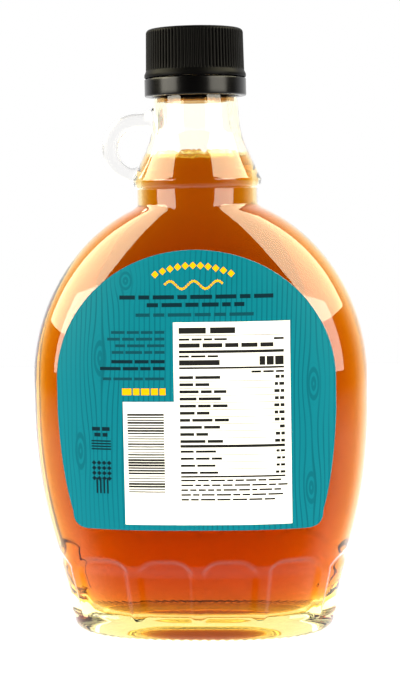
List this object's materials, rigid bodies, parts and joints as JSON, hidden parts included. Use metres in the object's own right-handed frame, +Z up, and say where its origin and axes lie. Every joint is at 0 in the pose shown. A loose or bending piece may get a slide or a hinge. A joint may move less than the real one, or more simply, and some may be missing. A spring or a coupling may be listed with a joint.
{
  "type": "maple syrup bottle",
  "caption": "Clear glass flask of maple syrup with a small loop handle, ribbed black screw cap with tamper band, fluted foot and an arched label on each broad face.",
  "frame": {"origin": "on the floor, under the middle of the bottle", "axes": "+Z up through the cap, -Y towards the facts label, -X towards the loop handle"},
  "size_m": [0.1, 0.0536, 0.1791],
  "materials": {
    "clear_glass": "clear, polished",
    "syrup": "clear amber liquid",
    "cap_plastic": "satin, moulded",
    "label_paper": "printed label stock, satin"
  },
  "bodies": {
    "root": {"glass_bottle": "clear_glass", "maple_syrup": "syrup", "screw_cap": "cap_plastic", "tamper_band": "cap_plastic", "facts_label": "label_paper", "plain_label": "label_paper"}
  },
  "joints": []
}
